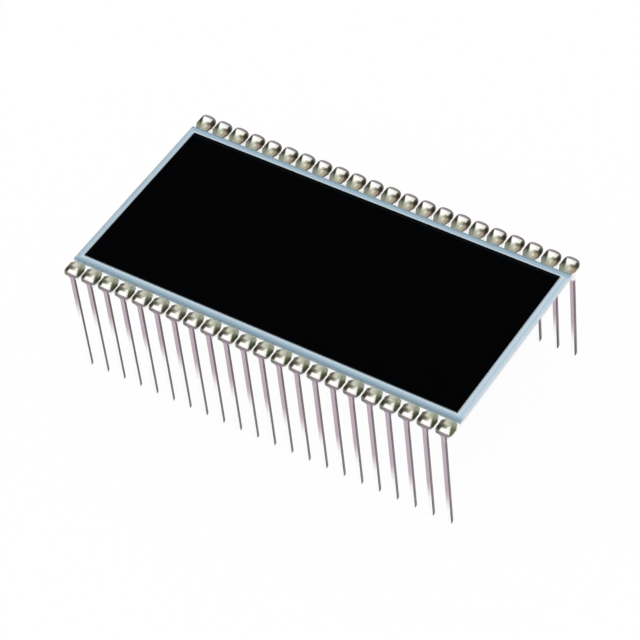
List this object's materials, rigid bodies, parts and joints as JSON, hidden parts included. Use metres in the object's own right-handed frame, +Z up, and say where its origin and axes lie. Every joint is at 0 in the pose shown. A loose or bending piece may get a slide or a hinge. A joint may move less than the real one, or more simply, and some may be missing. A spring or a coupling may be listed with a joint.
{
  "type": "segment lcd display",
  "caption": "Flat glass segment LCD with a blank black polarizer inside a pale blue glass border, and domed edge-clip leads with long straight stems along both long sides",
  "frame": {"origin": "centre of the display in plan, on the surface that the lead tips stand on", "axes": "+X along the lead rows from the end with the filling port to the plain end, +Y from the front row to the back row, +Z up through the viewing face"},
  "size_m": [0.0557, 0.0308, 0.0173],
  "materials": {
    "glass": "gloss",
    "polarizer": "gloss",
    "seal": "matte",
    "plug_resin": "gloss",
    "liquid_crystal": "gloss",
    "conductive_paste": "matte",
    "lead_metal": "satin"
  },
  "bodies": {
    "root": {"lower_glass": "glass", "upper_glass": "glass", "lower_polarizer": "polarizer", "upper_polarizer": "polarizer", "perimeter_seal": "seal", "fill_plug": "plug_resin", "liquid_crystal": "liquid_crystal", "transfer_dot_front": "conductive_paste", "transfer_dot_back": "conductive_paste", "front_lead_01": "lead_metal", "front_lead_02": "lead_metal", "front_lead_03": "lead_metal", "front_lead_04": "lead_metal", "front_lead_05": "lead_metal", "front_lead_06": "lead_metal", "front_lead_07": "lead_metal", "front_lead_08": "lead_metal", "front_lead_09": "lead_metal", "front_lead_10": "lead_metal", "front_lead_11": "lead_metal", "front_lead_12": "lead_metal", "front_lead_13": "lead_metal", "front_lead_14": "lead_metal", "front_lead_15": "lead_metal", "front_lead_16": "lead_metal", "front_lead_17": "lead_metal", "front_lead_18": "lead_metal", "front_lead_19": "lead_metal", "front_lead_20": "lead_metal", "front_lead_21": "lead_metal", "front_lead_22": "lead_metal", "back_lead_01": "lead_metal", "back_lead_02": "lead_metal", "back_lead_03": "lead_metal", "back_lead_04": "lead_metal", "back_lead_05": "lead_metal", "back_lead_06": "lead_metal", "back_lead_07": "lead_metal", "back_lead_08": "lead_metal", "back_lead_09": "lead_metal", "back_lead_10": "lead_metal", "back_lead_11": "lead_metal", "back_lead_12": "lead_metal", "back_lead_13": "lead_metal", "back_lead_14": "lead_metal", "back_lead_15": "lead_metal", "back_lead_16": "lead_metal", "back_lead_17": "lead_metal", "back_lead_18": "lead_metal", "back_lead_19": "lead_metal", "back_lead_20": "lead_metal", "back_lead_21": "lead_metal", "back_lead_22": "lead_metal"}
  },
  "joints": []
}
